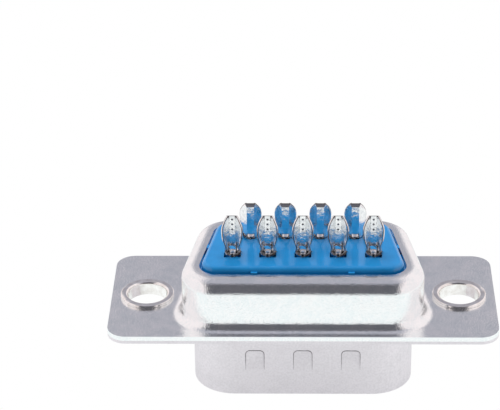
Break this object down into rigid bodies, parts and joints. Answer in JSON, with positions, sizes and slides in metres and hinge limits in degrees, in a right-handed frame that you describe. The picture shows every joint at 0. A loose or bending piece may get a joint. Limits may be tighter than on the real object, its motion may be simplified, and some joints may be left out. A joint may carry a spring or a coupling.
{
  "type": "d-sub connector",
  "caption": "D-shaped plug with a stamped metal shell and flange, two screw eyelets, a blue insulator, round mating pins and solder cups for wires.",
  "frame": {"origin": "centre of the part's length and width, at the mouth of the mating shell", "axes": "+X along the flange, +Y from the wide row of contacts to the narrow row, +Z from the mating mouth towards the solder cups"},
  "size_m": [0.0308, 0.0126, 0.0143],
  "materials": {
    "front_shell": "tin plated, satin",
    "rear_shell": "tin plated, satin",
    "front_insulator": "moulded, semi-gloss",
    "rear_insulator": "moulded, semi-gloss",
    "eyelets": "nickel plated, bright",
    "contacts": "tin plated, bright"
  },
  "bodies": {
    "root": {"front_shell": "front_shell", "rear_shell": "rear_shell", "front_insulator": "front_insulator", "rear_insulator": "rear_insulator", "eyelet_left": "eyelets", "eyelet_right": "eyelets", "contact_1": "contacts", "contact_2": "contacts", "contact_3": "contacts", "contact_4": "contacts", "contact_5": "contacts", "contact_6": "contacts", "contact_7": "contacts", "contact_8": "contacts", "contact_9": "contacts"}
  },
  "joints": []
}
